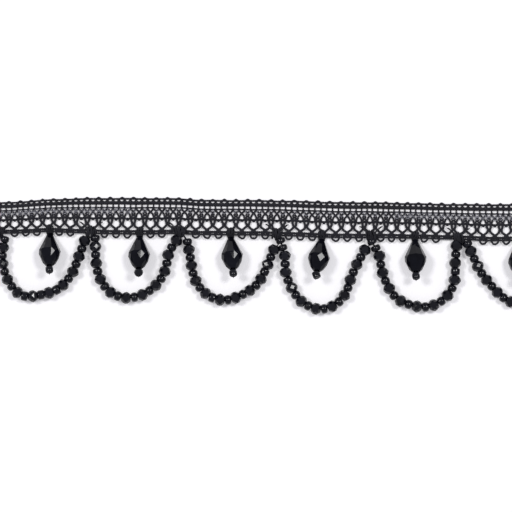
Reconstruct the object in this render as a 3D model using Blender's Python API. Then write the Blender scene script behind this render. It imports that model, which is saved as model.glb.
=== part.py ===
"""Beaded lace trim: a cut length of lace band edged with swags of glass beads and faceted drops.

The length runs along X, the scallops point toward -Y, and the trim lies face up on z = 0.
The origin is on the underside of the band, at the middle of its length.
Sizes below are in millimetres, and MM turns them into metres.
"""

import math

import bmesh
import bpy
from mathutils import Vector

MM = 0.001

# Lace band: its repeats, and the places of some of them along the length, which is a little uneven.
FIRST_REPEAT, LAST_REPEAT = -2, 48
REPEAT_PITCH = 4.18
REPEAT_PLACES = (  # repeat, middle
    (0, -96.3),
    (6, -71.9),
    (12, -46.6),
    (18, -21.8),
    (24, 3.9),
    (30, 29.6),
    (36, 53.4),
    (42, 79.3),
)
BAND_HEIGHT = 14.8  # with its loops, before it is pulled narrower in places
BAND_LIE = (  # along, top edge, height there
    (-106.6, 6.0, 12.8),
    (-97.4, 6.2, 12.8),
    (-83.4, 7.2, 13.2),
    (-68.8, 7.7, 14.5),
    (-54.2, 7.7, 14.9),
    (-35.9, 7.6, 14.5),
    (-28.5, 7.0, 14.3),
    (-5.1, 6.9, 14.4),
    (8.0, 6.6, 14.5),
    (20.9, 6.2, 14.6),
    (35.9, 6.1, 14.5),
    (44.7, 5.9, 14.4),
    (63.0, 5.5, 14.4),
    (77.6, 5.4, 15.0),
    (106.6, 5.4, 14.8),
)
BAND_ROWS = (  # what runs there, how far down the band, how thick
    ("top edge", 0.0, 1.1),
    ("edge cord", 0.4, 1.4),
    ("zigzag", 1.1, 1.0),
    ("upper cord", 1.7, 1.6),
    ("ladder", 2.4, 1.0),
    ("thin cord", 3.25, 1.3),
    ("net", 4.0, 1.0),
    ("wavy cord", 7.3, 1.3),
    ("hole top", 7.9, 1.0),
    ("hole foot", 10.4, 1.0),
    ("lattice foot", 11.7, 1.1),
    ("lower cord", 12.4, 1.7),
    ("lower edge", 13.0, 1.2),
)
FLAT_TO = 7.3  # the band is flat on its back down to here, then rises on its beads
EDGE_LIFT = 0.8
HOLE_WIDTH = 2.75
LOOP_STEPS = ((0.9, 0.0), (0.9, 0.6))  # further down, drawn in each side
PICOT_STEP = (-0.5, 0.35)

# Glass beads, threaded by turns along each swag.
RONDELLE = {"radius": 2.05, "length": 3.3}
SEED = {"radius": 1.47, "length": 2.6}
SHOULDER_AT, SHOULDER_RADIUS = 0.42, 0.97  # shares of a bead's half length and of its radius
NECK_RADIUS = 0.9
END_RADIUS = 0.6
THREAD_RADIUS = 0.35
STRING_HEIGHT = 2.08
PAIRS_A_SWAG = 10
STRING_SIDES_SETTING = 2  # eight sides
JUNCTIONS = (-102.1, -68.4, -35.9, -0.4, 34.0, 65.9, 101.7)
SWAGS = (  # name, seeds before the first pair, the string's route from the left end to the right
    (
        "swag_a",
        0,
        (
            (-99.9, -7.4),
            (-100.8, -13.5),
            (-100.1, -18.7),
            (-97.6, -24.2),
            (-93.2, -28.0),
            (-86.7, -27.7),
            (-80.3, -25.5),
            (-75.9, -20.9),
            (-73.5, -15.7),
            (-70.7, -8.0),
        ),
    ),
    (
        "swag_b",
        0,
        (
            (-66.8, -7.0),
            (-66.4, -16.2),
            (-64.9, -22.0),
            (-61.3, -26.7),
            (-55.6, -28.8),
            (-49.2, -27.5),
            (-44.0, -23.5),
            (-41.1, -18.3),
            (-39.9, -12.3),
            (-37.1, -7.9),
        ),
    ),
    (
        "swag_c",
        0,
        (
            (-33.1, -8.3),
            (-32.0, -14.4),
            (-31.1, -19.7),
            (-28.9, -24.6),
            (-24.7, -28.4),
            (-19.0, -29.6),
            (-13.2, -27.7),
            (-8.2, -24.4),
            (-5.1, -19.6),
            (-1.6, -11.2),
        ),
    ),
    (
        "swag_d",
        1,
        (
            (0.9, -7.9),
            (2.5, -13.5),
            (2.8, -19.6),
            (5.0, -25.2),
            (8.4, -30.0),
            (14.5, -32.9),
            (20.6, -31.5),
            (24.6, -27.3),
            (26.6, -21.7),
            (28.8, -16.5),
            (31.7, -11.3),
        ),
    ),
    (
        "swag_e",
        1,
        (
            (34.3, -8.3),
            (36.9, -13.1),
            (38.0, -19.0),
            (40.4, -25.0),
            (44.2, -29.6),
            (51.7, -32.1),
            (57.8, -31.1),
            (62.5, -27.2),
            (64.6, -21.9),
            (64.7, -15.8),
            (65.2, -9.8),
        ),
    ),
    (
        "swag_f",
        0,
        (
            (69.2, -9.1),
            (71.7, -14.5),
            (74.3, -19.7),
            (78.0, -24.4),
            (82.0, -28.5),
            (86.7, -30.8),
            (91.9, -30.5),
            (95.9, -27.3),
            (98.1, -22.0),
            (99.2, -16.0),
            (100.0, -10.3),
        ),
    ),
)
THREAD_SPREAD = 2.0  # from a junction to where each swag's thread meets the band

# Faceted drops, each lying on its flank with its tip under the band's edge.
DROP_PROFILE = ((0.0, 0.7), (0.5, 0.95), (3.4, 2.15), (7.8, 4.0), (10.4, 3.1), (12.2, 1.9), (13.0, 0.9))
DROP_LENGTH = 13.0
BELLY_AT, BELLY_RADIUS, TIP_RADIUS = 7.8, 4.0, 0.7
DROP_SIDES_SETTING = 3  # ten sides
DROPS = (  # name, where its tip lies, how far its foot leans to +X
    ("drop_a", (-83.4, -5.0), 0.1),
    ("drop_b", (-50.6, -6.0), -0.2),
    ("drop_c", (-17.3, -6.3), 0.9),
    ("drop_d", (16.0, -7.1), -2.0),
    ("drop_e", (50.1, -7.35), 0.1),
    ("drop_f", (87.7, -8.3), 0.3),
)
GAP = 0.3  # left between pieces that touch

# Thread ties, wound over the lower cord: half width, half height, half thickness.
JUNCTION_TIE = (2.0, 1.4, 0.55)
DROP_TIE = (1.2, 1.2, 0.45)
TIE_DOWN = 11.8  # the middle of a tie, down the band
TIE_RINGS, TIE_SPOKES = 5, 8


def between(rows, at, column):
    """The value of a table's column at a place between two of its rows, the first column being the place."""
    if at <= rows[0][0]:
        return rows[0][column]
    for low, high in zip(rows, rows[1:]):
        if at <= high[0]:
            share = (at - low[0]) / (high[0] - low[0])
            return low[column] + share * (high[column] - low[column])
    return rows[-1][column]


def repeat_middle(repeat):
    """Where a repeat of the lace has its middle, which carries a hole and a loop."""
    first, last = REPEAT_PLACES[0], REPEAT_PLACES[-1]
    if repeat < first[0]:
        return first[1] + (repeat - first[0]) * REPEAT_PITCH
    if repeat > last[0]:
        return last[1] + (repeat - last[0]) * REPEAT_PITCH
    return between(REPEAT_PLACES, repeat, 1)


def band_y(along, down):
    """The Y of a point that lies so far along the band and so far down it."""
    return between(BAND_LIE, along, 1) - down * between(BAND_LIE, along, 2) / BAND_HEIGHT


def band_lift(down):
    """The height of the band's underside."""
    lower_edge = BAND_ROWS[-1][1]
    return EDGE_LIFT * max(0.0, down - FLAT_TO) / (lower_edge - FLAT_TO)


def smooth_route(points, steps=12):
    """A Catmull-Rom curve through the points, as a fine row of points."""
    first, last = Vector(points[0]), Vector(points[-1])
    before = 2 * first - Vector(points[1])
    after = 2 * last - Vector(points[-2])
    knots = [before, *(Vector(p) for p in points), after]
    fine = []
    for a, b, c, d in zip(knots, knots[1:], knots[2:], knots[3:]):
        for step in range(steps):
            t = step / steps
            fine.append(
                0.5 * (2 * b + (c - a) * t + (2 * a - 5 * b + 4 * c - d) * t**2 + (3 * b - a - 3 * c + d) * t**3)
            )
    return [*fine, last]


def point_along(route, distance):
    """The point at a distance along a fine route."""
    for a, b in zip(route, route[1:]):
        step = (b - a).length
        if distance <= step:
            return a.lerp(b, distance / step)
        distance -= step
    return route[-1]


def beads_on(swag):
    """The beads of one swag: the kind and the middle of each."""
    name, extra_seeds, points = swag
    kinds = [SEED] * extra_seeds + [SEED, RONDELLE] * PAIRS_A_SWAG
    route = smooth_route(points)
    length = sum((b - a).length for a, b in zip(route, route[1:]))
    places = [0.0]
    for a, b in zip(kinds, kinds[1:]):
        places.append(places[-1] + (a["length"] + b["length"]) / 2)
    squeeze = length / places[-1]
    return [(kind, point_along(route, place * squeeze)) for kind, place in zip(kinds, places)]


def material(name, color, roughness):
    made = bpy.data.materials.new(name)
    made.use_nodes = True
    shader = made.node_tree.nodes["Principled BSDF"]
    shader.inputs["Base Color"].default_value = (*color, 1)
    shader.inputs["Roughness"].default_value = roughness
    shader.inputs["Metallic"].default_value = 0
    return made


def add_mesh(name, bm, collection, coat):
    mesh = bpy.data.meshes.new(name)
    bm.to_mesh(mesh)
    bm.free()
    mesh.materials.append(coat)
    added = bpy.data.objects.new(name, mesh)
    collection.objects.link(added)
    return added


def add_turned(name, points, radii, sides_setting, collection, coat):
    """A closed tube through the points, as thick at each as its radius says."""
    curve = bpy.data.curves.new(name, "CURVE")
    curve.dimensions = "3D"
    curve.bevel_depth = MM
    curve.bevel_resolution = sides_setting
    curve.use_fill_caps = True
    spline = curve.splines.new("POLY")
    spline.points.add(len(points) - 1)
    for knot, point, radius in zip(spline.points, points, radii):
        knot.co = (*(Vector(point) * MM), 1)
        knot.radius = radius
    curve.materials.append(coat)
    added = bpy.data.objects.new(name, curve)
    collection.objects.link(added)
    return added


def loop_is_clear(middle):
    """Whether no bead and no drop's tip lies where a loop would hang."""
    place = Vector((middle, band_y(middle, BAND_ROWS[-1][1] + LOOP_STEPS[0][0])))
    reach = HOLE_WIDTH / 2 + GAP
    tips = all(abs(middle - tip[0]) > REPEAT_PITCH / 2 for _, tip, _ in DROPS)
    return tips and all(
        (place - bead).length > kind["radius"] + reach for swag in SWAGS for kind, bead in beads_on(swag)
    )


def extrude_row(bm, edges, steps, middles):
    """Draws edges out down the band, step by step, each drawn in toward the nearest of the middles."""
    for down, drawn_in in steps:
        made = bmesh.ops.extrude_edge_only(bm, edges=edges)["geom"]
        edges = [item for item in made if isinstance(item, bmesh.types.BMEdge) and edge_is_new(item, made)]
        for vert in {v for edge in edges for v in edge.verts}:
            middle = min(middles, key=lambda m: abs(m - vert.co.x))
            vert.co.x += drawn_in if vert.co.x < middle else -drawn_in
            vert.co.y -= down


def edge_is_new(edge, made):
    """Whether both ends of an edge were made by the extrusion, so that it is the outer one."""
    verts = {item for item in made if isinstance(item, bmesh.types.BMVert)}
    return all(vert in verts for vert in edge.verts)


def lace_band(collection, coat):
    """One sheet with its lengthwise cords raised, a hole and a loop in each repeat, and picots on top."""
    middles = [repeat_middle(k) for k in range(FIRST_REPEAT, LAST_REPEAT + 1)]
    half_hole, half_pitch = HOLE_WIDTH / 2, REPEAT_PITCH / 2
    columns = [side for m in middles for side in (m - half_hole, m + half_hole)]
    columns = [middles[0] - half_pitch, *columns, middles[-1] + half_pitch]
    downs = [down for _, down, _ in BAND_ROWS]

    bm = bmesh.new()
    bmesh.ops.create_grid(bm, x_segments=len(columns) - 1, y_segments=len(downs) - 1, size=1)
    for vert in bm.verts:
        column = round((vert.co.x + 1) / 2 * (len(columns) - 1))
        row = round((1 - vert.co.y) / 2 * (len(downs) - 1))
        vert.co = (columns[column], -downs[row], 0)

    rows = {name: down for name, down, _ in BAND_ROWS}
    holes = [
        face
        for face in bm.faces
        if -rows["hole foot"] < face.calc_center_median().y < -rows["hole top"]
        and min(abs(face.calc_center_median().x - m) for m in middles) < 0.1
    ]
    bmesh.ops.delete(bm, geom=holes, context="FACES")

    def edges_at(down, places):
        return [
            edge
            for edge in bm.edges
            if all(abs(vert.co.y + down) < 0.01 for vert in edge.verts)
            and min(abs((edge.verts[0].co.x + edge.verts[1].co.x) / 2 - place) for place in places) < 0.1
        ]

    loops = [m for m in middles if loop_is_clear(m)]
    picots = [(a + b) / 2 for a, b in zip(middles, middles[1:])]
    extrude_row(bm, edges_at(rows["lower edge"], loops), LOOP_STEPS, loops)
    extrude_row(bm, edges_at(rows["top edge"], picots), (PICOT_STEP,), picots)

    under = bmesh.ops.extrude_face_region(bm, geom=bm.faces[:])["geom"]
    under = {item for item in under if isinstance(item, bmesh.types.BMVert)}
    thickness = [(down, thick) for _, down, thick in BAND_ROWS]
    for vert in bm.verts:
        along, down = vert.co.x, -vert.co.y
        height = band_lift(down) + (0 if vert in under else between(thickness, down, 1))
        vert.co = Vector((along, band_y(along, down), height)) * MM
    bmesh.ops.recalc_face_normals(bm, faces=bm.faces[:])
    return add_mesh("lace_band", bm, collection, coat)


def bead_swag(swag, junctions, collection, coat):
    """A string of beads from junction to junction, with the bare thread at its ends."""
    beads = beads_on(swag)
    lower_edge = BAND_ROWS[-1][1]
    anchors = []
    for junction, side in zip(junctions, (1, -1)):
        along = junction + side * THREAD_SPREAD
        anchors.append(Vector((along, band_y(along, lower_edge) - GAP)))

    middles = [middle for _, middle in beads]
    necks = []
    for (kind, middle), (next_kind, next_middle) in zip(beads, beads[1:]):
        share = kind["length"] / (kind["length"] + next_kind["length"])
        necks.append(middle.lerp(next_middle, share))
    starts = [2 * middles[0] - necks[0], *necks]
    ends = [*necks, 2 * middles[-1] - necks[-1]]

    points = [anchors[0], starts[0]]
    radii = [THREAD_RADIUS, END_RADIUS]
    for (kind, middle), start, end in zip(beads, starts, ends):
        shoulder = kind["radius"] * SHOULDER_RADIUS
        points += [middle.lerp(start, SHOULDER_AT), middle.lerp(end, SHOULDER_AT), end]
        radii += [shoulder, shoulder, NECK_RADIUS]
    radii[-1] = END_RADIUS
    points.append(anchors[1])
    radii.append(THREAD_RADIUS)
    raised = [(*point, STRING_HEIGHT) for point in points]
    return add_turned(swag[0], raised, radii, STRING_SIDES_SETTING, collection, coat)


def drop_axis(tip, lean):
    """A drop's tip, and the way that its axis runs when its flank lies on the surface."""
    tilt = math.atan((BELLY_RADIUS - TIP_RADIUS) / BELLY_AT)
    across = math.sqrt(DROP_LENGTH**2 - lean**2) / DROP_LENGTH
    way = Vector((lean / DROP_LENGTH * math.cos(tilt), -across * math.cos(tilt), math.sin(tilt)))
    start = Vector((*tip, TIP_RADIUS * math.cos(tilt) + 0.02))
    return start, way.normalized()


def bead_drop(drop, collection, coat):
    name, tip, lean = drop
    start, way = drop_axis(tip, lean)
    points = [start + way * at for at, _ in DROP_PROFILE]
    radii = [radius for _, radius in DROP_PROFILE]
    return add_turned(name, points, radii, DROP_SIDES_SETTING, collection, coat)


def stop_bead(drop, collection, coat):
    """The seed that keeps a drop on its thread."""
    name, tip, lean = drop
    start, way = drop_axis(tip, lean)
    top = DROP_LENGTH + GAP
    profile = ((0.0, 0.8), (0.35, 1.25), (0.5, SEED["radius"]), (0.65, 1.25), (1.0, 0.8))
    points = [start + way * (top + share * SEED["length"]) for share, _ in profile]
    radii = [radius for _, radius in profile]
    return add_turned(name.replace("drop", "stop_bead"), points, radii, STRING_SIDES_SETTING, collection, coat)


def thread_tie(name, along, half_sizes, collection, coat):
    """A flat lump of thread, wound over the lower cord."""
    cord_down = BAND_ROWS[-2][1]
    cord_top = band_lift(cord_down) + BAND_ROWS[-2][2]
    middle = Vector((along, band_y(along, TIE_DOWN), cord_top + GAP + half_sizes[2]))
    bm = bmesh.new()
    bmesh.ops.create_uvsphere(bm, u_segments=TIE_SPOKES, v_segments=TIE_RINGS, radius=1)
    bmesh.ops.scale(bm, vec=Vector(half_sizes), verts=bm.verts[:])
    bmesh.ops.translate(bm, vec=middle, verts=bm.verts[:])
    bmesh.ops.scale(bm, vec=Vector((MM, MM, MM)), verts=bm.verts[:])
    return add_mesh(name, bm, collection, coat)


def build():
    for old in list(bpy.data.objects):
        bpy.data.objects.remove(old)
    collection = bpy.data.collections.new("beaded_lace_trim")
    bpy.context.scene.collection.children.link(collection)
    yarn = material("black_yarn", (0.016, 0.016, 0.022), 0.8)
    glass = material("black_glass", (0.008, 0.009, 0.013), 0.08)
    thread = material("black_thread", (0.012, 0.012, 0.016), 0.7)

    lace_band(collection, yarn)
    for swag, *ends in zip(SWAGS, JUNCTIONS, JUNCTIONS[1:]):
        bead_swag(swag, ends, collection, glass)
    for drop in DROPS:
        bead_drop(drop, collection, glass)
        stop_bead(drop, collection, glass)
        thread_tie(drop[0].replace("drop", "drop_tie"), drop[1][0], DROP_TIE, collection, thread)
    for number, along in enumerate(JUNCTIONS, 1):
        thread_tie(f"junction_tie_{number}", along, JUNCTION_TIE, collection, thread)


build()
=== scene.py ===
"""The looks of the beaded lace trim: yarn, thread and cut glass, each where its CAD solid is.

Sizes are in millimetres, and MM turns them into metres.
"""

import math
import random

import bmesh
import bpy
import numpy as np
from mathutils import Matrix, Vector


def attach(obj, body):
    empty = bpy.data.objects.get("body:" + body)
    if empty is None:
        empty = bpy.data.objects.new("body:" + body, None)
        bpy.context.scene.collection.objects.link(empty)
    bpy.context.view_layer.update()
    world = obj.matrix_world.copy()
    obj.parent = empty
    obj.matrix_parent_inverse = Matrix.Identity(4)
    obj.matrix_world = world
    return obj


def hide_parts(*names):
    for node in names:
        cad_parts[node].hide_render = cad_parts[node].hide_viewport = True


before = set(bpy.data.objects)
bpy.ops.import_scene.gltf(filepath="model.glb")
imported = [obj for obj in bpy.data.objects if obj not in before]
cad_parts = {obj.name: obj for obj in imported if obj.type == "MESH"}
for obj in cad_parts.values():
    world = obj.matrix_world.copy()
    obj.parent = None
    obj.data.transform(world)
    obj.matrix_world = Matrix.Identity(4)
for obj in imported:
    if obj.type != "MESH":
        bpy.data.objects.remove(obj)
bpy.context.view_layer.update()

MM = 0.001
TAU = math.tau

# Lace band: its repeats, where some of them lie, and how the band lies along its length.
FIRST_REPEAT, LAST_REPEAT = -2, 48
REPEAT_PITCH = 4.18
REPEAT_PLACES = (  # repeat, middle
    (0, -96.3),
    (6, -71.9),
    (12, -46.6),
    (18, -21.8),
    (24, 3.9),
    (30, 29.6),
    (36, 53.4),
    (42, 79.3),
)
BAND_HEIGHT = 14.8
BAND_LIE = (  # along, top edge, height there
    (-106.6, 6.0, 12.8),
    (-97.4, 6.2, 12.8),
    (-83.4, 7.2, 13.2),
    (-68.8, 7.7, 14.5),
    (-54.2, 7.7, 14.9),
    (-35.9, 7.6, 14.5),
    (-28.5, 7.0, 14.3),
    (-5.1, 6.9, 14.4),
    (8.0, 6.6, 14.5),
    (20.9, 6.2, 14.6),
    (35.9, 6.1, 14.5),
    (44.7, 5.9, 14.4),
    (63.0, 5.5, 14.4),
    (77.6, 5.4, 15.0),
    (106.6, 5.4, 14.8),
)
FLAT_TO, LOWER_EDGE, EDGE_LIFT = 7.3, 13.0, 0.8

# Glass beads, threaded by turns along each swag.
RONDELLE = {"radius": 2.05, "length": 3.3}
SEED = {"radius": 1.47, "length": 2.6}
STRING_HEIGHT = 2.08
PAIRS_A_SWAG = 10
JUNCTIONS = (-102.1, -68.4, -35.9, -0.4, 34.0, 65.9, 101.7)
SWAGS = (  # name, seeds before the first pair, the string's route from the left end to the right
    (
        "swag_a",
        0,
        (
            (-99.9, -7.4),
            (-100.8, -13.5),
            (-100.1, -18.7),
            (-97.6, -24.2),
            (-93.2, -28.0),
            (-86.7, -27.7),
            (-80.3, -25.5),
            (-75.9, -20.9),
            (-73.5, -15.7),
            (-70.7, -8.0),
        ),
    ),
    (
        "swag_b",
        0,
        (
            (-66.8, -7.0),
            (-66.4, -16.2),
            (-64.9, -22.0),
            (-61.3, -26.7),
            (-55.6, -28.8),
            (-49.2, -27.5),
            (-44.0, -23.5),
            (-41.1, -18.3),
            (-39.9, -12.3),
            (-37.1, -7.9),
        ),
    ),
    (
        "swag_c",
        0,
        (
            (-33.1, -8.3),
            (-32.0, -14.4),
            (-31.1, -19.7),
            (-28.9, -24.6),
            (-24.7, -28.4),
            (-19.0, -29.6),
            (-13.2, -27.7),
            (-8.2, -24.4),
            (-5.1, -19.6),
            (-1.6, -11.2),
        ),
    ),
    (
        "swag_d",
        1,
        (
            (0.9, -7.9),
            (2.5, -13.5),
            (2.8, -19.6),
            (5.0, -25.2),
            (8.4, -30.0),
            (14.5, -32.9),
            (20.6, -31.5),
            (24.6, -27.3),
            (26.6, -21.7),
            (28.8, -16.5),
            (31.7, -11.3),
        ),
    ),
    (
        "swag_e",
        1,
        (
            (34.3, -8.3),
            (36.9, -13.1),
            (38.0, -19.0),
            (40.4, -25.0),
            (44.2, -29.6),
            (51.7, -32.1),
            (57.8, -31.1),
            (62.5, -27.2),
            (64.6, -21.9),
            (64.7, -15.8),
            (65.2, -9.8),
        ),
    ),
    (
        "swag_f",
        0,
        (
            (69.2, -9.1),
            (71.7, -14.5),
            (74.3, -19.7),
            (78.0, -24.4),
            (82.0, -28.5),
            (86.7, -30.8),
            (91.9, -30.5),
            (95.9, -27.3),
            (98.1, -22.0),
            (99.2, -16.0),
            (100.0, -10.3),
        ),
    ),
)

# Faceted drops, each lying on its flank, and the seed at each one's foot.
DROP_LENGTH = 13.0
BELLY_AT, BELLY_RADIUS, TIP_RADIUS = 7.8, 4.0, 0.7
DROPS = (  # name, where its tip lies, how far its foot leans to +X, a facet's roll to +X, its stop bead
    ("drop_a", (-83.4, -5.0), 0.1, 12, "seed"),
    ("drop_b", (-50.6, -6.0), -0.2, 12, "cut"),
    ("drop_c", (-17.3, -6.3), 0.9, 12, "seed"),
    ("drop_d", (16.0, -7.1), -2.0, 10, "tube"),
    ("drop_e", (50.1, -7.35), 0.1, 0, "seed"),
    ("drop_f", (87.7, -8.3), 0.3, 12, "seed"),
)
GAP = 0.3
TIE_DOWN = 11.8


def between(rows, at, column):
    """The value of a table's column at a place between two of its rows, the first column being the place."""
    if at <= rows[0][0]:
        return rows[0][column]
    for low, high in zip(rows, rows[1:]):
        if at <= high[0]:
            share = (at - low[0]) / (high[0] - low[0])
            return low[column] + share * (high[column] - low[column])
    return rows[-1][column]


def repeat_middle(repeat):
    """Where a repeat of the lace has its middle, or any place counted in repeats."""
    first, last = REPEAT_PLACES[0], REPEAT_PLACES[-1]
    if repeat < first[0]:
        return first[1] + (repeat - first[0]) * REPEAT_PITCH
    if repeat > last[0]:
        return last[1] + (repeat - last[0]) * REPEAT_PITCH
    return between(REPEAT_PLACES, repeat, 1)


def band_y(along, down):
    """The Y of a point that lies so far along the band and so far down it."""
    return between(BAND_LIE, along, 1) - down * between(BAND_LIE, along, 2) / BAND_HEIGHT


def band_lift(down):
    """The height of the band's underside."""
    return EDGE_LIFT * max(0.0, down - FLAT_TO) / (LOWER_EDGE - FLAT_TO)


def on_band(repeat, down, height):
    """The point of the lace at a place counted in repeats, so far down, and so far above the underside."""
    along = repeat_middle(repeat)
    return Vector((along, band_y(along, down), band_lift(down) + height))


def smooth_route(points, steps=12):
    """A Catmull-Rom curve through the points, as a fine row of points."""
    first, last = Vector(points[0]), Vector(points[-1])
    before = 2 * first - Vector(points[1])
    after = 2 * last - Vector(points[-2])
    knots = [before, *(Vector(p) for p in points), after]
    fine = []
    for a, b, c, d in zip(knots, knots[1:], knots[2:], knots[3:]):
        for step in range(steps):
            t = step / steps
            bend = 2 * a - 5 * b + 4 * c - d
            end = 3 * b - a - 3 * c + d
            fine.append(0.5 * (2 * b + (c - a) * t + bend * t**2 + end * t**3))
    return [*fine, last]


def point_along(route, distance):
    """The point at a distance along a fine route."""
    for a, b in zip(route, route[1:]):
        step = (b - a).length
        if distance <= step:
            return a.lerp(b, distance / step)
        distance -= step
    return route[-1]


def beads_on(swag):
    """The beads of one swag: the kind and the middle of each."""
    name, extra_seeds, points = swag
    kinds = [SEED] * extra_seeds + [SEED, RONDELLE] * PAIRS_A_SWAG
    route = smooth_route(points)
    length = sum((b - a).length for a, b in zip(route, route[1:]))
    places = [0.0]
    for a, b in zip(kinds, kinds[1:]):
        places.append(places[-1] + (a["length"] + b["length"]) / 2)
    squeeze = length / places[-1]
    return [(kind, point_along(route, place * squeeze)) for kind, place in zip(kinds, places)]


def drop_frame(tip, lean):
    """The frame of a drop on its flank: X to its side, Y up from its axis, Z from its tip to its foot."""
    tilt = math.atan((BELLY_RADIUS - TIP_RADIUS) / BELLY_AT)
    across = math.sqrt(DROP_LENGTH**2 - lean**2) / DROP_LENGTH
    aside = lean / DROP_LENGTH
    way = Vector((aside * math.cos(tilt), -across * math.cos(tilt), math.sin(tilt))).normalized()
    top = (Vector((0, 0, 1)) - way.z * way).normalized()
    side = top.cross(way)
    start = Vector((*tip, TIP_RADIUS * math.cos(tilt) + 0.02))
    turned = Matrix((side, top, way)).transposed().to_4x4()
    return Matrix.Translation(start) @ turned


class Wire:
    """An output socket of a material's tree. Arithmetic on it adds Math nodes."""

    def __init__(self, tree, socket=None):
        self.tree = tree
        self.socket = socket

    def node(self, kind, inputs, output=0, stops=(), **settings):
        """Any node: its settings first, then the values or links of its sockets."""
        made = self.tree.nodes.new(kind)
        for name, value in settings.items():
            setattr(made, name, value)
        for spot, (place, color) in enumerate(stops):
            stop = made.color_ramp.elements[spot] if spot < 2 else made.color_ramp.elements.new(place)
            stop.position = place
            stop.color = (*color, 1)
        for name, value in inputs.items():
            if isinstance(value, Wire):
                self.tree.links.new(value.socket, made.inputs[name])
            else:
                made.inputs[name].default_value = value
        return Wire(self.tree, made.outputs[output])

    def math(self, operation, *values):
        return self.node("ShaderNodeMath", dict(enumerate(values)), operation=operation)

    def feed(self, socket):
        self.tree.links.new(self.socket, socket)

    def __add__(self, other):
        return self.math("ADD", self, other)

    def __sub__(self, other):
        return self.math("SUBTRACT", self, other)

    def __rsub__(self, other):
        return self.math("SUBTRACT", other, self)

    def __mul__(self, other):
        return self.math("MULTIPLY", self, other)

    __radd__ = __add__
    __rmul__ = __mul__


def new_finish(name, constants):
    """A material, its shader with the given constants, and a wire to start its tree from."""
    made = bpy.data.materials.new(name)
    made.use_nodes = True
    shader = made.node_tree.nodes["Principled BSDF"]
    for socket, value in constants.items():
        shader.inputs[socket].default_value = value
    return made, shader, Wire(made.node_tree)


def noise(start, size, detail=2.0):
    """Noise whose lumps are so many millimetres across, fixed to the object."""
    place = start.node("ShaderNodeTexCoord", {}, output="Object")
    inputs = {"Vector": place, "Scale": 1 / (size * MM), "Detail": detail}
    return start.node("ShaderNodeTexNoise", inputs, output="Fac")


def ramp(value, stops):
    return value.node("ShaderNodeValToRGB", {"Fac": value}, output="Color", stops=stops)


def twisted_yarn(name, dark, light, pitch, strands, fuzz):
    """Spun yarn: strands that wind round it, with painted shade in the grooves between them, fibres that
    stand up a little, and patches of wear.
    """
    made, shader, start = new_finish(
        name, {"Specular IOR Level": 0.25, "Sheen Weight": 0.06, "Sheen Roughness": 0.45}
    )
    across = start.node("ShaderNodeUVMap", {}, uv_map="UVMap")
    around = start.node("ShaderNodeSeparateXYZ", {"Vector": across}, output="X")
    along = start.node("ShaderNodeSeparateXYZ", {"Vector": across}, output="Y")
    wind = start.math("SINE", (around * strands + along * (1 / pitch)) * TAU) * 0.5 + 0.5
    fibre = noise(start, fuzz, 4.0)
    patch = noise(start, 6.0)
    # The winding also goes into the base colour as painted shade: darker in the grooves between strands and
    # lighter on their crests. The fibre and patch noise add tone that differs at random.
    groove_shade_and_tone = wind * 0.45 + fibre * 0.35 + patch * 0.3
    ramp(groove_shade_and_tone, ((0.25, dark), (0.8, light))).feed(shader.inputs["Base Color"])
    (0.9 - wind * 0.2 - patch * 0.15).feed(shader.inputs["Roughness"])
    height = wind * 0.7 + fibre * 0.5
    inputs = {"Height": height, "Distance": 0.05 * MM, "Strength": 0.7}
    start.node("ShaderNodeBump", inputs, output="Normal").feed(shader.inputs["Normal"])
    return made


def black_glass(name, shine, roughness, wave, wave_height):
    """Opaque black glass: a faint cloud in its colour, and a surface that is not quite even."""
    made, shader, start = new_finish(name, {"IOR": 1.52, "Specular IOR Level": shine})
    cloud = noise(start, 5.0)
    clouded = ramp(cloud, ((0.3, (0.002, 0.002, 0.004)), (0.75, (0.006, 0.0065, 0.011))))
    clouded.feed(shader.inputs["Base Color"])
    smear = noise(start, 1.2, 3.0)
    (smear * roughness + roughness * 0.5).feed(shader.inputs["Roughness"])
    ripple = noise(start, wave)
    inputs = {"Height": ripple, "Distance": wave_height * MM, "Strength": 1.0}
    start.node("ShaderNodeBump", inputs, output="Normal").feed(shader.inputs["Normal"])
    return made


def clear_filament():
    """The grey nylon filament that is worked in with the yarn."""
    made, shader, start = new_finish("clear_filament", {"Specular IOR Level": 0.6})
    streak = noise(start, 0.8, 3.0)
    ramp(streak, ((0.3, (0.16, 0.16, 0.18)), (0.7, (0.45, 0.45, 0.5)))).feed(shader.inputs["Base Color"])
    (streak * 0.3 + 0.15).feed(shader.inputs["Roughness"])
    (streak * 0.4 + 0.2).feed(shader.inputs["Alpha"])
    return made


def put_on(piece, *coats):
    piece.data.materials.clear()
    for coat in coats:
        piece.data.materials.append(coat)


def add_piece(name, mesh, coat, replaced=()):
    """A finished piece of the trim, which goes with it and may stand for CAD nodes."""
    piece = bpy.data.objects.new(name, mesh)
    bpy.context.scene.collection.objects.link(piece)
    put_on(piece, coat)
    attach(piece, "root")
    if replaced:
        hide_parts(*replaced)
    return piece


YARN_SIDES = 6
UNEVEN_STITCH = 0.09


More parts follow.
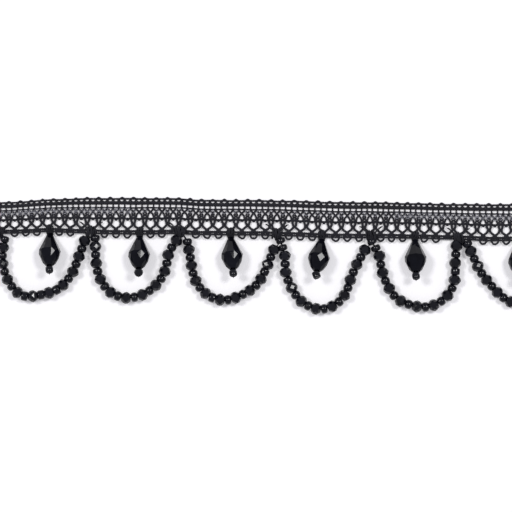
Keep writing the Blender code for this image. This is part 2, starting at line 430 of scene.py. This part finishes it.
def tubes(name, yarns):
    """One mesh of round yarns. Each yarn is a radius and a route, and its UV map's Y runs in millimetres."""
    curve = bpy.data.curves.new(name, "CURVE")
    curve.dimensions = "3D"
    curve.bevel_depth = MM
    curve.bevel_resolution = YARN_SIDES // 2 - 2
    counts = []
    lengths = []
    for radius, route in yarns:
        closed = (route[0] - route[-1]).length < 1e-6
        knots = route[:-1] if closed else route
        spline = curve.splines.new("POLY")
        spline.points.add(len(knots) - 1)
        spline.points.foreach_set("co", [c for knot in knots for c in (*(knot * MM), 1)])
        spline.points.foreach_set("radius", [radius] * len(knots))
        spline.use_cyclic_u = closed
        counts.append(len(knots))
        lengths.append(sum((b - a).length for a, b in zip(route, route[1:])))
    source = bpy.data.objects.new(name, curve)
    bpy.context.scene.collection.objects.link(source)
    shown = source.evaluated_get(bpy.context.evaluated_depsgraph_get())
    mesh = bpy.data.meshes.new_from_object(shown)
    bpy.data.objects.remove(source)
    bpy.data.curves.remove(curve)
    mesh.name = name
    stretch_map(mesh, counts, lengths)
    bm = bmesh.new()
    bm.from_mesh(mesh)
    bmesh.ops.holes_fill(bm, edges=[edge for edge in bm.edges if edge.is_boundary], sides=YARN_SIDES)
    bmesh.ops.recalc_face_normals(bm, faces=bm.faces[:])
    bm.to_mesh(mesh)
    bm.free()
    mesh.shade_smooth()
    return mesh


def stretch_map(mesh, counts, lengths):
    """Makes the UV map's Y the distance along each yarn."""
    length_at = np.repeat(lengths, [YARN_SIDES * count for count in counts])
    corners = np.empty(len(mesh.loops), int)
    mesh.loops.foreach_get("vertex_index", corners)
    layer = mesh.uv_layers[0]
    layer.name = "UVMap"
    spots = np.empty(len(mesh.loops) * 2)
    layer.uv.foreach_get("vector", spots)
    spots[1::2] *= length_at[corners]
    layer.uv.foreach_set("vector", spots)


def cord(down, height, plies, spread, turns, hang=0.0, steps=16):
    """The plies of a lengthwise cord, which hangs lower by a little at each repeat's middle."""
    routes = []
    for ply in range(plies):
        route = []
        for step in range((LAST_REPEAT - FIRST_REPEAT + 1) * steps + 1):
            repeat = FIRST_REPEAT - 0.5 + step / steps
            turn = TAU * (turns * repeat + ply / plies)
            sway = 0.05 * math.sin(repeat * 1.7 + down) + hang * math.cos(TAU * repeat)
            place = on_band(repeat, down + sway + spread * math.cos(turn), height + spread * math.sin(turn))
            route.append(place)
        routes.append(route)
    return routes


def stitch(repeat, knots, steps=3, uneven=UNEVEN_STITCH):
    """One short yarn through knots, each so many repeats to the side, so far down and so high."""
    moved = []
    for aside, down, height in knots:
        shift = LACE_HAND.uniform(-uneven, uneven) / REPEAT_PITCH
        place = on_band(repeat + aside + shift, down + LACE_HAND.uniform(-uneven, uneven), height)
        moved.append(place)
    return smooth_route(moved, steps)


def mirrored(knots, about=0.0):
    return [(2 * about - aside, down, height) for aside, down, height in knots]


LACE_HAND = random.Random(11)
REPEATS = range(FIRST_REPEAT, LAST_REPEAT + 1)
STEMS = range(FIRST_REPEAT, LAST_REPEAT)  # each stem stands half a repeat after this repeat's middle

EDGE_YARN, CORD_YARN, NET_YARN, STEM_YARN, LOOP_YARN = 0.29, 0.33, 0.37, 0.45, 0.38
# Each knot of a short yarn: repeats from the middle of its repeat, down the band, above the underside.
PICOT = ((0.27, 0.55, 0.45), (0.37, 0.05, 0.5), (0.5, -0.22, 0.55), (0.63, 0.05, 0.5), (0.73, 0.55, 0.45))
LADDER_BAR = ((0.25, 1.8, 0.5), (0.25, 2.7, 0.45), (0.25, 3.55, 0.5))
ROUND_TEARDROP = (
    (-0.25, 3.4, 0.5),
    (-0.22, 3.95, 0.5),
    (-0.05, 4.85, 0.62),
    (0.06, 5.25, 0.66),
    (0.18, 5.95, 0.5),
    (0.22, 6.55, 0.48),
    (0.28, 7.15, 0.45),
)
INTO_RING = (
    (0.25, 3.4, 0.5),
    (0.28, 3.95, 0.48),
    (0.45, 4.8, 0.4),
    (0.56, 5.2, 0.42),
    (0.62, 5.6, 0.5),
    (0.57, 6.1, 0.6),
)
FILAMENT, CROWDED_TO, CROWDED_FROM = 0.19, -54, 41
RING_DOWN, RING_RADIUS, RING_YARN, RING_STEPS = 6.85, 0.62, 0.35, 12
STEM = (
    (0.28, 7.2, 0.45),
    (0.335, 7.75, 0.48),
    (0.34, 8.3, 0.5),
    (0.385, 8.9, 0.5),
    (0.41, 9.4, 0.5),
    (0.40, 9.85, 0.5),
    (0.32, 10.35, 0.5),
    (0.16, 10.85, 0.55),
    (0.0, 11.3, 0.6),
    (-0.11, 11.65, 0.6),
    (-0.15, 12.1, 0.5),
)
NOTCH = ((-0.08, 7.6, 0.6), (-0.07, 7.95, 0.75), (0.0, 8.12, 0.8), (0.07, 7.95, 0.75), (0.08, 7.6, 0.6))
FOOT_BARS = (-0.33, -0.21, -0.09, 0.09, 0.21, 0.33)
LOOP_WIDTH, LOOP_DROP = 2.75, 0.9
LOOP = ((-0.3, 12.9, 0.5), (-0.29, 13.35, 0.5), (-0.235, 13.85, 0.5), (-0.13, 14.3, 0.5), (0.0, 14.42, 0.5))


def loop_is_clear(middle):
    """Whether no bead and no drop's tip lies where a loop would hang."""
    place = Vector((middle, band_y(middle, LOWER_EDGE + LOOP_DROP)))
    reach = LOOP_WIDTH / 2 + GAP
    if any(abs(middle - tip[0]) <= REPEAT_PITCH / 2 for _, tip, *_ in DROPS):
        return False
    beads = [bead for swag in SWAGS for bead in beads_on(swag)]
    return all((place - bead).length > kind["radius"] + reach for kind, bead in beads)


def heading_yarns():
    """The upper part of the band: picots, edge cord, zigzag, thick cord, ladder and thin cord."""
    yarns = [(0.24, route) for route in cord(0.3, 0.5, 2, 0.18, 4)]
    yarns += [(CORD_YARN, route) for route in cord(1.83, 0.75, 3, 0.3, 2)]
    yarns += [(0.24, route) for route in cord(3.5, 0.6, 2, 0.14, 5)]
    zigzag = []
    steps = 20
    for step in range((LAST_REPEAT - FIRST_REPEAT + 1) * steps + 1):
        repeat = FIRST_REPEAT - 0.5 + step / steps
        turn = TAU * 2 * repeat
        lean = 0.07 * math.sin(turn) + 0.03 * math.sin(2 * turn)
        zigzag.append(on_band(repeat + lean, 0.95 + 0.45 * math.cos(turn), 0.55 + 0.15 * math.sin(turn)))
    yarns.append((EDGE_YARN, zigzag))
    yarns += [(EDGE_YARN, stitch(k, PICOT, 2)) for k in STEMS]
    for k in REPEATS:
        yarns.append((0.28, stitch(k, LADDER_BAR, 2)))
        yarns.append((0.28, stitch(k, mirrored(LADDER_BAR), 2)))
    return yarns


def net_yarns():
    """The open net: crossing yarns, teardrop holes, rings, a wavy cord, and stems beside the large holes."""
    yarns = [(0.29, route) for route in cord(7.4, 0.65, 2, 0.2, 3, hang=0.15)]
    for k in REPEATS:
        yarns.append((NET_YARN, stitch(k, ROUND_TEARDROP)))
        yarns.append((NET_YARN, stitch(k, mirrored(ROUND_TEARDROP))))
        yarns.append((0.26, stitch(k, NOTCH, 2)))
    for k in STEMS:
        yarns.append((NET_YARN, stitch(k, INTO_RING)))
        yarns.append((NET_YARN, stitch(k, mirrored(INTO_RING, 0.5))))
        yarns.append((STEM_YARN, stitch(k, STEM)))
        yarns.append((STEM_YARN, stitch(k, mirrored(STEM, 0.5))))
        ring = []
        for step in range(RING_STEPS):
            turn = TAU * step / RING_STEPS
            aside = RING_RADIUS * math.cos(turn) / REPEAT_PITCH
            down = RING_DOWN + RING_RADIUS * math.sin(turn)
            ring.append(on_band(k + 0.5 + aside, down, 0.8 + 0.1 * math.cos(turn)))
        yarns.append((RING_YARN, [*ring, ring[0]]))
    return yarns


def edging_yarns():
    """The lower part of the band: two cords joined by short bars, and the loops below them."""
    yarns = [(0.31, route) for route in cord(12.1, 0.7, 2, 0.22, 3)]
    yarns += [(0.26, route) for route in cord(13.05, 0.6, 2, 0.15, 3)]
    for k in REPEATS:
        for aside in FOOT_BARS:
            yarns.append((0.3, stitch(k, ((aside, 12.0, 0.6), (aside, 12.5, 0.6), (aside, 13.0, 0.6)), 2)))
        if loop_is_clear(repeat_middle(k)):
            whole = [*LOOP, *reversed(mirrored(LOOP[:-1]))]
            yarns.append((LOOP_YARN, stitch(k, whole)))
    return yarns


def filament_yarns():
    """Curls of clear filament in the upper net, more of them toward both ends of the length."""
    yarns = []
    for k in STEMS:
        middle = repeat_middle(k + 0.5)
        crowded = middle < CROWDED_TO or middle > CROWDED_FROM
        for column in (0.25, 0.75) if crowded else ():
            yarns.append(filament_curl(k + column + 0.25, 4.3, 0.75))
            yarns.append(filament_curl(k + column + 0.25, 5.2, 0.65))
        if not crowded:
            yarns.append(filament_curl(k + 0.5, 4.45, 0.75))
    return yarns


def filament_curl(repeat, down, size):
    """One turn of filament that doesn't quite close, lying on the net."""
    start = LACE_HAND.uniform(0, TAU)
    width = size * LACE_HAND.uniform(0.8, 1.2)
    height = size * LACE_HAND.uniform(0.8, 1.2)
    down += LACE_HAND.uniform(-0.15, 0.15)
    curl = []
    for step in range(11):
        turn = start + 0.85 * TAU * step / 10
        aside = width * math.cos(turn) / REPEAT_PITCH
        curl.append(on_band(repeat + aside, down + height * math.sin(turn), 0.95 + 0.015 * step))
    return (FILAMENT, curl)


def hull_of(rings, sides):
    """A closed body with flat facets over rings of points: the radius, height and half turns of each."""
    bm = bmesh.new()
    for radius, height, half_turns in rings:
        ring = bmesh.ops.create_circle(bm, segments=sides, radius=radius)["verts"]
        bmesh.ops.rotate(bm, verts=ring, matrix=Matrix.Rotation(half_turns * math.pi / sides, 3, "Z"))
        bmesh.ops.translate(bm, verts=ring, vec=(0, 0, height))
    bmesh.ops.convex_hull(bm, input=bm.verts[:])
    bmesh.ops.delete(bm, geom=[edge for edge in bm.edges if not edge.link_faces], context="EDGES")
    bmesh.ops.dissolve_limit(bm, angle_limit=math.radians(2), verts=bm.verts[:], edges=bm.edges[:])
    bmesh.ops.recalc_face_normals(bm, faces=bm.faces[:])
    return bm


def drill(bm, rim, depth):
    """Sinks a hole into both end faces."""
    ends = [face for face in bm.faces if abs(face.normal.z) > 0.99]
    bmesh.ops.inset_individual(bm, faces=ends, thickness=rim)
    bmesh.ops.inset_individual(bm, faces=ends, thickness=0.03, depth=-depth)


def finished_mesh(name, bm, smooth=False):
    mesh = bpy.data.meshes.new(name)
    bm.to_mesh(mesh)
    bm.free()
    if smooth:
        mesh.shade_smooth()
    return mesh


def cut_rondelle():
    """A fire-polished rondelle: diamonds round its girdle, and a ring of facets above and below them."""
    radius, half = RONDELLE["radius"], RONDELLE["length"] / 2
    shoulder = radius * math.cos(math.pi / RONDELLE_SIDES)
    rings = [(radius, 0, 1)]
    for side in (-1, 1):
        rings += [(shoulder, side * half * 0.45, 0), (radius * 0.55, side * half, 1)]
    bm = hull_of(rings, RONDELLE_SIDES)
    drill(bm, 0.35, 0.5)
    return finished_mesh("rondelle", bm)


def seed_bead(name, fullness):
    """A smooth seed: a barrel spun round its hole. The fuller it is, the more it is like a tube."""
    rim, radius, half = 0.6, SEED["radius"], SEED["length"] / 2
    profile = [(0.42, -0.75 * half), (0.42, 0.75 * half)]
    for step in range(SEED_ROWS + 1):
        turn = math.pi * (0.5 - step / SEED_ROWS)
        out, up = math.cos(turn), math.sin(turn)
        bulge = abs(out) ** (2 / fullness)
        rise = math.copysign(abs(up) ** (2 / fullness), up)
        profile.append((rim + (radius - rim) * bulge, half * rise))
    bm = bmesh.new()
    knots = [bm.verts.new((out, 0, up)) for out, up in profile]
    edges = [bm.edges.new(pair) for pair in zip(knots, [*knots[1:], knots[0]])]
    middle, axis = (0, 0, 0), (0, 0, 1)
    geom = [*knots, *edges]
    bmesh.ops.spin(bm, geom=geom, cent=middle, axis=axis, angle=TAU, steps=SEED_SPOKES, use_merge=True)
    bmesh.ops.recalc_face_normals(bm, faces=bm.faces[:])
    return finished_mesh(name, bm, smooth=True)


RONDELLE_SIDES = 8
SEED_ROWS, SEED_SPOKES = 10, 16
DROP_SIDES = 9
DROP_RINGS = (  # radius, from the tip, half turns
    (0.75, 0.0, 0),
    (4.05, 7.3, 0),
    (3.95, 8.5, 1),
    (3.3, 10.3, 0),
    (2.4, 12.0, 1),
    (1.4, 13.0, 0),
)


def cut_drop():
    """A teardrop with long flank facets, kites round its belly and diamonds below them."""
    bm = hull_of(DROP_RINGS, DROP_SIDES)
    drill(bm, 0.25, 0.8)
    return finished_mesh("cut_drop", bm)


def copy_into(bm, mesh, place):
    """Adds a copy of a bead's mesh at a place."""
    copy = mesh.copy()
    copy.transform(place)
    bm.from_mesh(copy)
    bpy.data.meshes.remove(copy)


IN_METRES = Matrix.Scale(MM, 4)
RONDELLE_SHARE = 0.595  # of the length of a pair of beads
RONDELLE_WIDTHS, SEED_WIDTHS = (1.1, 1.16), (1.18, 1.26)
TUBE_CHANCE = 0.2
FULLER = 0.25  # how much higher the strings lie than in the solids, as their beads are fuller


def bead_place(middle, way, roll, width, length):
    """The matrix that puts a bead at its middle, along the string, rolled and stretched."""
    turned = way.to_track_quat("Z", "Y").to_matrix().to_4x4()
    stretch = Matrix.Diagonal((width, width, length, 1))
    return Matrix.Translation(middle) @ turned @ Matrix.Rotation(roll, 4, "Z") @ stretch


def string_of_beads(swag, shapes, coat):
    """All the beads of one swag, each turned and sized a little by its own chance."""
    hand = random.Random(swag[0])
    beads = beads_on(swag)
    middles = [Vector((*middle, STRING_HEIGHT + FULLER)) for _, middle in beads]
    bm = bmesh.new()
    for spot, ((kind, _), middle) in enumerate(zip(beads, middles)):
        before = middles[max(spot - 1, 0)]
        after = middles[min(spot + 1, len(middles) - 1)]
        room = (after - before).length * (1 if 0 < spot < len(middles) - 1 else 2)
        way = (after - before).normalized()
        way += Vector((hand.uniform(-0.08, 0.08), hand.uniform(-0.08, 0.08), hand.uniform(-0.1, 0.1)))
        width = hand.uniform(*(RONDELLE_WIDTHS if kind is RONDELLE else SEED_WIDTHS))
        roll = hand.uniform(0, TAU)
        if kind is RONDELLE:
            shape = shapes["cut"]
        else:
            shape = shapes["tube"] if 0 < spot and hand.random() < TUBE_CHANCE else shapes["seed"]
            middle = middle - Vector((0, 0, hand.uniform(0.0, 0.3)))
        share = RONDELLE_SHARE if kind is RONDELLE else 1 - RONDELLE_SHARE
        length = room * share / kind["length"] * hand.uniform(0.97, 1.0)
        copy_into(bm, shape, IN_METRES @ bead_place(middle, way.normalized(), roll, width, length))
    name = f"{swag[0]}_beads"
    return add_piece(name, finished_mesh(name, bm), coat, (swag[0],))


def string_thread(swag, junctions, next_swag, coat):
    """The doubled thread through a swag's beads, from the tie at one junction to the tie at the next."""
    middles = [Vector((*middle, STRING_HEIGHT + FULLER)) for _, middle in beads_on(swag)]
    ties = [Vector((along, band_y(along, TIE_DOWN), 1.9)) for along in junctions]
    if next_swag and next_swag[1]:
        shared = Vector((*beads_on(next_swag)[0][1], STRING_HEIGHT + FULLER))
        middles.append(shared)
    routes = []
    for aside in (-0.14, 0.14):
        points = [ties[0], *middles, ties[1]]
        routes.append((TIE_THREAD, [p + Vector((aside, aside * 0.5, 0)) for p in smooth_route(points, 3)]))
    return add_piece(f"{swag[0]}_thread", tubes(f"{swag[0]}_thread", routes), coat)


def wound_lump(middle, half_sizes, turns, hand, radius=0.2):
    """Thread wound round and round over a cord, wandering from side to side."""
    route = []
    steps = turns * 12
    wander = hand.uniform(0, TAU)
    for step in range(steps + 1):
        turn = TAU * step / 12
        drift = math.sin(TAU * 2.5 * step / steps + wander)
        swell = 1 - 0.35 * drift * drift + hand.uniform(-0.05, 0.05)
        aside = half_sizes[0] * drift + 0.35 * math.sin(turn + wander)
        route.append(
            middle
            + Vector((aside, half_sizes[1] * swell * math.cos(turn), half_sizes[2] * swell * math.sin(turn)))
        )
    return (radius, route)


def junction_tie(number, along, coat):
    """A lump of sewing thread at a junction, and the doubled stitches that run up into the net."""
    hand = random.Random(number)
    middle = Vector((along, band_y(along, TIE_DOWN + 0.8), 2.2))
    yarns = [wound_lump(middle, (1.7, 2.2, 1.6), 15, hand), wound_lump(middle, (1.3, 2.0, 1.4), 9, hand)]
    for side in (-1, 1):
        for pair in (0.0, 0.45):
            knots = []
            for out, down, height in ((0.4, 12.0, 2.6), (1.6, 10.9, 2.1), (2.9, 9.6, 1.5), (3.8, 8.9, 1.0)):
                x = along + side * (out + pair)
                knots.append(Vector((x, band_y(x, down), height)))
            yarns.append((0.15, smooth_route(knots, 3)))
    name = f"junction_tie_{number}"
    return add_piece(f"{name}_thread", tubes(f"{name}_thread", yarns), coat, (name,))


NECK_TURNS, NECK_STEPS, NECK_RADIUS, TIE_THREAD = 7, 12, 1.2, 0.17


def drop_tie(drop, coat):
    """The thread that ties a drop to the band: a lump over the cord, and turns round the drop's tip."""
    name, tip, lean, *_ = drop
    hand = random.Random(name)
    middle = Vector((tip[0], band_y(tip[0], TIE_DOWN), 1.9))
    yarns = [wound_lump(middle, (1.0, 1.3, 1.3), 9, hand)]
    place = drop_frame(tip, lean)
    neck = []
    for step in range(NECK_TURNS * NECK_STEPS + 1):
        share = step / (NECK_TURNS * NECK_STEPS)
        turn = TAU * step / NECK_STEPS
        radius = NECK_RADIUS + 0.1 * math.sin(TAU * share * 2)
        spot = place @ Vector((radius * math.cos(turn), radius * math.sin(turn), -1.5 + 2.1 * share))
        spot.z = max(spot.z, 0.2)
        neck.append(spot)
    yarns.append((TIE_THREAD, neck))
    for aside in (-0.5, 0.0, 0.5):
        over = middle + Vector((aside, -0.6, 0.9))
        behind = place @ Vector((aside, 0.75, -0.9))
        tip_top = place @ Vector((aside * 0.7, 0.3, 0.5))
        yarns.append((0.2, smooth_route([over, behind, tip_top], 4)))
    tie = name.replace("drop", "drop_tie")
    return add_piece(f"{tie}_thread", tubes(f"{tie}_thread", yarns), coat, (tie,))


def hung_drop(drop, shapes, drop_coat, bead_coat, thread_coat):
    """A cut drop, its stop bead, and the thread that turns back round the bead."""
    name, tip, lean, roll, stop_kind = drop
    place = drop_frame(tip, lean)
    bm = bmesh.new()
    kite = -math.radians(roll)
    copy_into(bm, shapes["drop"], IN_METRES @ place @ Matrix.Rotation(kite, 4, "Z"))
    add_piece(f"{name}_glass", finished_mesh(f"{name}_glass", bm), drop_coat, (name,))

    bm = bmesh.new()
    hand = random.Random(name)
    middle = DROP_LENGTH + GAP + SEED["length"] / 2
    size = 0.84 if stop_kind == "cut" else 1.0
    turned = Matrix.Rotation(math.radians({"seed": 8, "cut": 0, "tube": 28}[stop_kind]), 4, "Y")
    spot = place @ Matrix.Translation((0, 0, middle)) @ turned @ Matrix.Rotation(hand.uniform(0, 1), 4, "Z")
    copy_into(bm, shapes[stop_kind], IN_METRES @ spot @ Matrix.Scale(size, 4))
    stop = name.replace("drop", "stop_bead")
    add_piece(f"{stop}_glass", finished_mesh(f"{stop}_glass", bm), bead_coat, (stop,))

    out = SEED["radius"] + 0.14
    foot = DROP_LENGTH - 0.3
    through = ((0, 0, foot), (0, 0, middle), (0, 0, middle + 1.5))
    bend = ((0, -0.9, middle + 1.45), (0, -out, middle + 0.6))
    back = ((0, -out, middle - 0.6), (0, -0.9, middle - 1.4), (0, -0.2, foot))
    route = [place @ point for point in smooth_route([*through, *bend, *back], 4)]
    add_piece(f"{stop}_thread", tubes(f"{stop}_thread", [(0.14, route)]), thread_coat)


def softbox(name, bearing, from_zenith):
    """A soft lamp that faces the trim. Its bearing is counted from the picture's top, clockwise."""
    turn, tilt = math.radians(bearing), math.radians(from_zenith)
    way = Vector((math.sin(turn) * math.sin(tilt), math.cos(turn) * math.sin(tilt), math.cos(tilt)))
    lamp = bpy.data.lights.new(name, "AREA")
    lamp.shape = "RECTANGLE"
    lamp.size, lamp.size_y = BOX_SIZE
    lamp.energy = BOX_RADIANCE * math.pi * BOX_SIZE[0] * BOX_SIZE[1]
    made = bpy.data.objects.new(name, lamp)
    made.location = way * BOX_AWAY
    made.rotation_mode = "QUATERNION"
    made.rotation_quaternion = way.to_track_quat("Z", "Y")
    bpy.context.scene.collection.objects.link(made)


def studio():
    """A white floor, pale surroundings and soft lamps."""
    bm = bmesh.new()
    bmesh.ops.create_grid(bm, x_segments=1, y_segments=1, size=FLOOR_HALF)
    bmesh.ops.translate(bm, vec=(0, 0, -FLOOR_GAP * MM), verts=bm.verts[:])
    floor = bpy.data.objects.new("floor", finished_mesh("floor", bm))
    bpy.context.scene.collection.objects.link(floor)
    paper, shader, start = new_finish(
        "white_paper", {"Roughness": 0.9, "Specular IOR Level": 0.1, "Emission Strength": FLOOR_GLOW}
    )
    shader.inputs["Emission Color"].default_value = (1.0, 0.99, 1.0, 1)
    mottle = ramp(noise(start, 30.0), ((0.3, (0.88, 0.87, 0.88)), (0.7, (0.9, 0.89, 0.9))))
    mottle.feed(shader.inputs["Base Color"])
    put_on(floor, paper)

    world = bpy.data.worlds.new("studio")
    bpy.context.scene.world = world
    world.use_nodes = True
    start = Wire(world.node_tree)
    seen = start.node("ShaderNodeLightPath", {}, output="Is Camera Ray")
    inputs = {0: seen, 6: ROOM_LIGHT, 7: SEEN_ROOM}
    sky = start.node("ShaderNodeMix", inputs, output=2, data_type="RGBA")
    sky.feed(world.node_tree.nodes["Background"].inputs["Color"])

    softbox("right_box", 60, 28)
    softbox("left_box", -67, 33.5)


ROOM_LIGHT = (0.37, 0.37, 0.41, 1)
SEEN_ROOM = (0.93, 0.93, 0.95, 1)
FLOOR_GLOW = 0.24
FLOOR_HALF, FLOOR_GAP = 3.0, 0.05  # metres, millimetres
BOX_AWAY, BOX_SIZE, BOX_RADIANCE = 1.5, (0.3, 0.3), 27.0
CAMERA_PLACE = (-8.05, -13.5, 1200.0)
PICTURE_WIDTH = 187.4
SENSOR_WIDTH = 36.0


def camera():
    """Straight above, with the photo's stretch of the trim from side to side."""
    eye = bpy.data.cameras.new("camera")
    eye.type = "PERSP"
    eye.sensor_width = SENSOR_WIDTH
    eye.lens = SENSOR_WIDTH * CAMERA_PLACE[2] / PICTURE_WIDTH
    eye.clip_end = 20
    made = bpy.data.objects.new("camera", eye)
    made.location = Vector(CAMERA_PLACE) * MM
    bpy.context.scene.collection.objects.link(made)
    bpy.context.scene.camera = made


def dress_trim():
    yarn = twisted_yarn("black_yarn", (0.005, 0.005, 0.007), (0.026, 0.025, 0.034), 0.9, 2, 0.12)
    thread = twisted_yarn("black_thread", (0.005, 0.005, 0.007), (0.026, 0.026, 0.034), 0.5, 3, 0.08)
    bead_glass = black_glass("bead_glass", 0.35, 0.1, 2.5, 0.02)
    drop_glass = black_glass("drop_glass", 0.16, 0.06, 6.0, 0.01)

    filament = clear_filament()

    net = add_piece("lace_net", tubes("lace_net", net_yarns()), yarn, ("lace_band",))
    heading = add_piece("lace_heading", tubes("lace_heading", heading_yarns()), yarn)
    edging = add_piece("lace_edging", tubes("lace_edging", edging_yarns()), yarn)
    curls = add_piece("lace_filament", tubes("lace_filament", filament_yarns()), filament)

    shapes = {
        "cut": cut_rondelle(),
        "seed": seed_bead("seed", 2.6),
        "tube": seed_bead("tube", 4.5),
        "drop": cut_drop(),
    }
    for swag, next_swag, *ends in zip(SWAGS, [*SWAGS[1:], None], JUNCTIONS, JUNCTIONS[1:]):
        string_of_beads(swag, shapes, bead_glass)
        string_thread(swag, ends, next_swag, thread)
    for drop in DROPS:
        hung_drop(drop, shapes, drop_glass, bead_glass, thread)
        drop_tie(drop, thread)
    for number, along in enumerate(JUNCTIONS, 1):
        junction_tie(number, along, thread)


bpy.context.scene.view_settings.view_transform = "Standard"
camera()
studio()
dress_trim()
